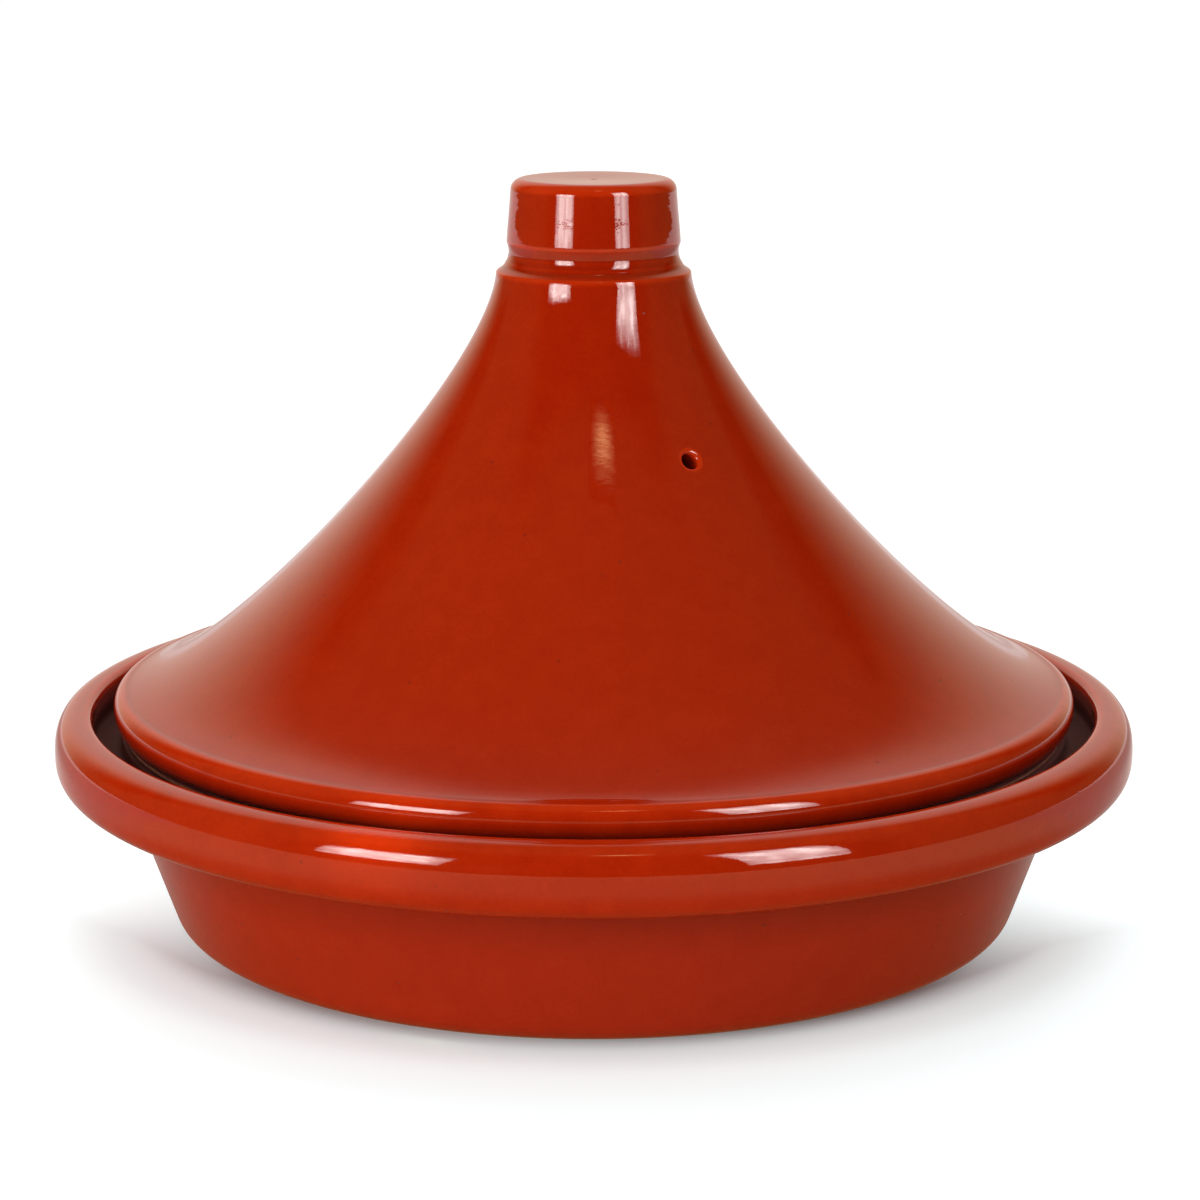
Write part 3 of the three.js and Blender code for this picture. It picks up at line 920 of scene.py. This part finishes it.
def surroundings():
    """What the glaze mirrors all round: dark in front, a dim warm haze at the sides, white behind."""
    material, tree = new_material("surroundings")
    place = node(tree, "ShaderNodeTexCoord").outputs["Object"]
    level = vector_math(tree, "MULTIPLY", place, (1, 1, 0)).outputs[0]
    unit = vector_math(tree, "NORMALIZE", level).outputs[0]
    bearing = node(tree, "ShaderNodeSeparateXYZ", Vector=unit)
    back = bearing.outputs["Y"]
    height = node(tree, "ShaderNodeSeparateXYZ", Vector=place).outputs["Z"]
    up = weighted(tree, height, 1 / DOME_REACH, -STAGE_CENTRE[2] / DOME_REACH)

    def only_below(low, high):
        return without(tree, ramp(tree, up, low, high))

    front = times(tree, without(tree, ramp(tree, back, -0.57, -0.26)), only_below(0.8, 0.92))
    strip = math_node(tree, "SUBTRACT", ramp(tree, back, 0.33, 0.46), ramp(tree, back, 0.55, 0.64))
    strip = times(tree, strip, times(tree, ramp(tree, up, 0.12, 0.3), only_below(0.58, 0.74)))
    haze = weighted(tree, front, -0.117, 0.12)
    haze = weighted(tree, strip, -0.105, haze)
    white = times(tree, ramp(tree, back, 0.6, 0.94), only_below(0.7, 0.93))
    white = times(tree, white, weighted(tree, bearing.outputs["X"], -0.11, 0.73))
    white_colour = blend(tree, ramp(tree, back, 0.75, 0.98), (1.0, 0.84, 0.57, 1), (1.0, 0.79, 0.72, 1))
    surface(tree, glow(tree, (1.0, 0.77, 0.25, 1), haze), glow(tree, white_colour, white))
    return material


def pane_light(name, colour, strength):
    """A tall pane's light: soft at its sides and feathered towards its top."""
    material, tree = new_material(name)
    place = node(tree, "ShaderNodeTexCoord").outputs["Generated"]
    parts = node(tree, "ShaderNodeSeparateXYZ", Vector=place)
    streaks = noise(tree, scaled(tree, place, (14.0, 0.0, 5.0)), 1.0, 3.0)
    feathers = noise(tree, scaled(tree, place, (3.0, 0.0, 60.0)), 1.0, 2.0)
    patches = noise(tree, place, 3.2, 1.0)

    aside = from_middle(tree, parts.outputs["X"])
    ragged = math_node(tree, "ADD", aside, weighted(tree, feathers, 0.5, -0.25))
    across = weighted(tree, ramp(tree, ragged, 0.55, 1.0), -0.8, 1.0)
    across = times(tree, across, weighted(tree, aside, -0.4, 1.2))
    height = math_node(tree, "ADD", parts.outputs["Z"], weighted(tree, streaks, 0.3, -0.15))
    upwards = weighted(tree, ramp(tree, height, 0.6, 1.0), -0.97, 1.0)
    upwards = times(tree, upwards, weighted(tree, ramp(tree, height, 0.0, 0.5), 0.5, 0.6))
    uneven = weighted(tree, ramp(tree, patches, 0.35, 0.65), 0.5, 0.65)
    level = times(tree, times(tree, across, upwards), times(tree, uneven, strength))
    surface(tree, glow(tree, colour, level))
    return material


def lamp_light(name, colour, strength):
    """A slatted lamp's light, fading out towards all its sides and more so downwards."""
    material, tree = new_material(name)
    place = node(tree, "ShaderNodeTexCoord").outputs["Generated"]
    parts = node(tree, "ShaderNodeSeparateXYZ", Vector=place)
    height = parts.outputs["Z"]
    level = times(tree, ramp(tree, height, 0.0, 0.75), strength)
    for side in (parts.outputs["X"], height):
        fade = without(tree, ramp(tree, from_middle(tree, side), 0.0, 1.0))
        level = times(tree, level, math_node(tree, "POWER", fade, 1.4))
    slats = math_node(tree, "SINE", times(tree, height, 2 * math.pi * LAMP_SLATS))
    level = times(tree, level, weighted(tree, slats, 0.5, 1.0))
    surface(tree, glow(tree, colour, level))
    return material


def pane(name, low_edge, high_edge, reach, material):
    """A pane between two level edges, each given as bearing, degrees to either side and height."""
    corners = []
    for (bearing, spread, height), signs in ((low_edge, (-1, 1)), (high_edge, (1, -1))):
        for sign in signs:
            turn = math.radians(bearing + sign * spread)
            corners.append((reach * math.sin(turn), -reach * math.cos(turn), height))
    return card(name, corners, [(0, 1, 2, 3)], material)


floor_mesh = bpy.data.meshes.new("floor")
floor_mesh.from_pydata([(-9, -9, 0), (9, -9, 0), (9, 9, 0), (-9, 9, 0)], [], [(0, 1, 2, 3)])
floor_mesh.materials.append(pale_floor())
floor = bpy.data.objects.new("floor", floor_mesh)
bpy.context.scene.collection.objects.link(floor)

sky_card("dome", -180, 180, -1, 90, DOME_REACH, surroundings())
left_light = pane_light("pane_left_light", (1.0, 0.98, 0.95, 1), 11.5)
right_light = pane_light("pane_right_light", (1.0, 0.98, 0.96, 1), 9.5)
pane("pane_left", (-40, 12.2, 0.196), (-40, 14.0, 0.53), PANE_REACH, left_light)
pane("pane_right", (38, 9.8, 0.196), (39, 14.0, 0.95), PANE_REACH, right_light)

# A thin dark bar across each pane
black = plain_light("card_black", (1, 1, 1, 1), 0.003)
pane("bar_left", (-40, 14, 0.2598), (-40, 14, 0.2625), PANE_REACH - 0.01, black)
pane("bar_right", (38, 14, 0.2586), (38, 14, 0.2634), PANE_REACH - 0.01, black)

sky_card("ceiling_lamp", -5, 21, 57.5, 68, 3.0, lamp_light("warm_light", (1.0, 0.58, 0.25, 1), 5.6))


def hang(light, bearing, up, reach, target=STAGE_CENTRE):
    """Hangs a lamp that faces the target, left out of reflections, which the cards and panes make."""
    lamp = bpy.data.objects.new(light.name, light)
    lamp.location = around(bearing, up, reach, target)
    lamp.rotation_euler = (math.radians(90 - up), 0, math.radians(bearing))
    lamp.visible_camera = False
    lamp.visible_glossy = False
    bpy.context.scene.collection.objects.link(lamp)


def soft_lamp(name, bearing, up, reach, size, energy):
    """A rectangular lamp that lights the whole object."""
    light = bpy.data.lights.new(name, "AREA")
    light.shape = "RECTANGLE"
    light.size, light.size_y = size
    light.energy = energy
    hang(light, bearing, up, reach)


def spot_lamp(name, target, bearing, up, reach, spread, energy):
    """A narrow soft spot aimed at one place."""
    light = bpy.data.lights.new(name, "SPOT")
    light.energy = energy
    light.color = (0.85, 1.0, 0.5)
    light.spot_size = math.radians(spread)
    light.spot_blend = 1.0
    light.shadow_soft_size = 0.01
    hang(light, bearing, up, reach, target)


soft_lamp("key_lamp", -35, 9, 1.9, (1.4, 0.6), 15.0)
soft_lamp("back_lamp", 180, 60, 2.2, (2.5, 2.0), 13.4)

# A gleam on the rim's left front
GLEAM_PLACE = (-0.0558, -0.1422, 0.0665)
spot_lamp("gleam_lamp", GLEAM_PLACE, -21.6, 50, 1.0, 1.9, 42.0)

# White for what the camera and reflections see, a soft fill for the rest
world = bpy.data.worlds.new("studio")
bpy.context.scene.world = world
world.use_nodes = True
sky = world.node_tree
sky.nodes.clear()
path = node(sky, "ShaderNodeLightPath")
seen = math_node(sky, "MAXIMUM", path.outputs["Is Camera Ray"], path.outputs["Is Glossy Ray"])
seen = math_node(sky, "MAXIMUM", seen, path.outputs["Is Transmission Ray"])
level = weighted(sky, seen, 0.33, 0.67)
backdrop = node(sky, "ShaderNodeBackground", Color=(1, 1, 1, 1), Strength=level)
sky_output = sky.nodes.new("ShaderNodeOutputWorld")
sky.links.new(backdrop.outputs[0], sky_output.inputs["Surface"])

# Camera, fitted to the photograph: place in metres, degrees down and aside, lens in millimetres
CAMERA_PLACE = (0, -0.99396, 0.31936)
CAMERA_DOWN = 12.572
CAMERA_ASIDE = -0.1056
CAMERA_LENS = 102.55

lens = bpy.data.cameras.new("camera")
lens.lens = CAMERA_LENS
lens.sensor_width = 36
lens.sensor_fit = "HORIZONTAL"
lens.clip_end = 100
camera = bpy.data.objects.new("camera", lens)
camera.location = CAMERA_PLACE
camera.rotation_euler = (math.radians(90 - CAMERA_DOWN), 0, math.radians(CAMERA_ASIDE))
bpy.context.scene.collection.objects.link(camera)
bpy.context.scene.camera = camera

bpy.context.scene.view_settings.view_transform = "Standard"

bpy.context.view_layer.update()
